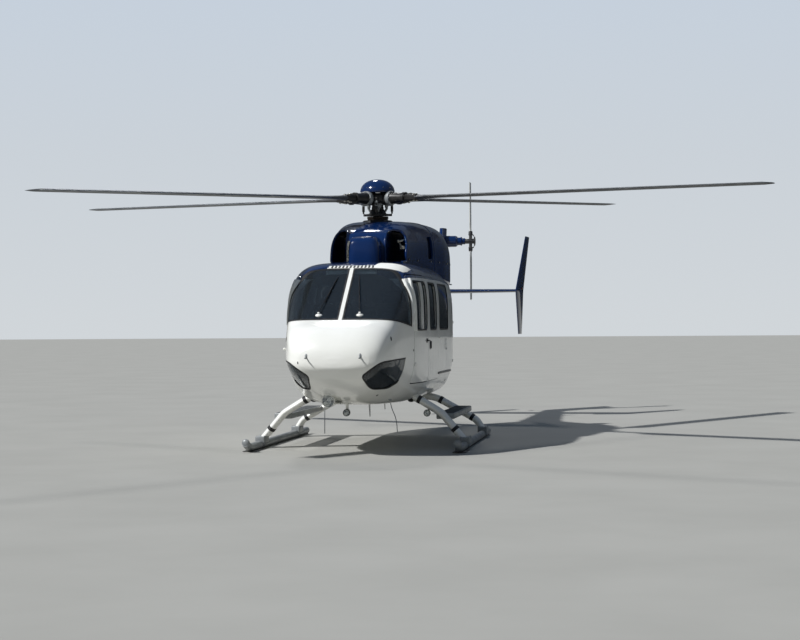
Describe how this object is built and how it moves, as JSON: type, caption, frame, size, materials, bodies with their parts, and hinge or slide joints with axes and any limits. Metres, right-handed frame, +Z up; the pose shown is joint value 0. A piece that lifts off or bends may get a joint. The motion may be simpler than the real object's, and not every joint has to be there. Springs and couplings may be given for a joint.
{
  "type": "helicopter",
  "caption": "Light twin-engine helicopter on skids: glazed cabin with hinged crew doors and rear clamshell doors, hingeless main rotor and a tail rotor on the left of the fin.",
  "frame": {"origin": "on the ground, at the middle of the whole machine's box", "axes": "+Z up, -Y towards the nose, +X towards the machine's own left side"},
  "size_m": [9.6062, 11.7176, 3.848],
  "materials": {
    "white_paint": "gloss",
    "blue_paint": "gloss",
    "rotor_grey": "satin",
    "rotor_titanium": "satin",
    "dark_metal": "satin",
    "exhaust_steel": "heat stained",
    "engine_metal": "satin",
    "tinted_glass": "polished",
    "gear_grey": "satin",
    "cabin_trim": "matt",
    "seat_fabric": "woven"
  },
  "bodies": {
    "airframe": {"nose_shell": "white_paint", "floor_and_belly": "white_paint", "cabin_frame": "white_paint", "rear_roof": "white_paint", "windscreen_left": "tinted_glass", "windscreen_right": "tinted_glass", "chin_window_left": "tinted_glass", "chin_window_right": "tinted_glass", "cabin_window_left": "tinted_glass", "cabin_window_right": "tinted_glass", "sliding_door_left": "white_paint", "sliding_door_right": "white_paint", "sliding_door_glass_left": "tinted_glass", "sliding_door_glass_right": "tinted_glass", "transmission_cowl": "blue_paint", "engine_cowl": "blue_paint", "engine_left": "engine_metal", "engine_right": "engine_metal", "main_gearbox": "engine_metal", "exhaust_left": "exhaust_steel", "exhaust_right": "exhaust_steel", "tailboom": "blue_paint", "tailplane": "blue_paint", "endplate_left": "blue_paint", "endplate_right": "blue_paint", "tail_fin": "blue_paint", "tail_gearbox": "blue_paint", "skid_left": "gear_grey", "skid_right": "gear_grey", "cross_tube_front": "white_paint", "cross_tube_rear": "white_paint", "boarding_step_left": "gear_grey", "boarding_step_right": "gear_grey", "crew_seat_left": "seat_fabric", "crew_seat_right": "seat_fabric", "passenger_bench": "seat_fabric", "instrument_panel": "cabin_trim", "search_light": "dark_metal", "landing_light": "gear_grey", "swashplate": "rotor_titanium"},
    "main_rotor": {"rotor_mast": "dark_metal", "rotor_hub": "rotor_titanium", "pitch_links": "rotor_titanium", "hub_cap": "blue_paint", "main_blade_1": "rotor_grey", "main_blade_2": "rotor_grey", "main_blade_3": "rotor_grey", "main_blade_4": "rotor_grey"},
    "tail_rotor": {"tail_rotor_hub": "rotor_titanium", "tail_blade_1": "white_paint", "tail_blade_2": "white_paint"},
    "left_crew_door": {"crew_door_left": "white_paint", "crew_door_glass_left": "tinted_glass"},
    "right_crew_door": {"crew_door_right": "white_paint", "crew_door_glass_right": "tinted_glass"},
    "left_clamshell": {"clamshell_door_left": "white_paint"},
    "right_clamshell": {"clamshell_door_right": "white_paint"}
  },
  "joints": [
    {"name": "main_rotor_spin", "type": "hinge", "parent": "airframe", "child": "main_rotor", "pos_m": [0, -1.06, 3.11], "axis": [0, -0.0436, 0.999], "continuous": true},
    {"name": "tail_rotor_spin", "type": "hinge", "parent": "airframe", "child": "tail_rotor", "pos_m": [0.465, 5.46, 2.87], "axis": [1, 0, 0], "continuous": true},
    {"name": "left_crew_door_hinge", "type": "hinge", "parent": "airframe", "child": "left_crew_door", "pos_m": [0.779, -2.984, 1.44], "axis": [0, 0, -1], "range_deg": [0, 80]},
    {"name": "right_crew_door_hinge", "type": "hinge", "parent": "airframe", "child": "right_crew_door", "pos_m": [-0.779, -2.984, 1.44], "axis": [0, 0, 1], "range_deg": [0, 80]},
    {"name": "left_clamshell_hinge", "type": "hinge", "parent": "airframe", "child": "left_clamshell", "pos_m": [0.796, 0.324, 1.2], "axis": [0, 0, -1], "range_deg": [0, 95]},
    {"name": "right_clamshell_hinge", "type": "hinge", "parent": "airframe", "child": "right_clamshell", "pos_m": [-0.796, 0.324, 1.2], "axis": [0, 0, 1], "range_deg": [0, 95]}
  ]
}
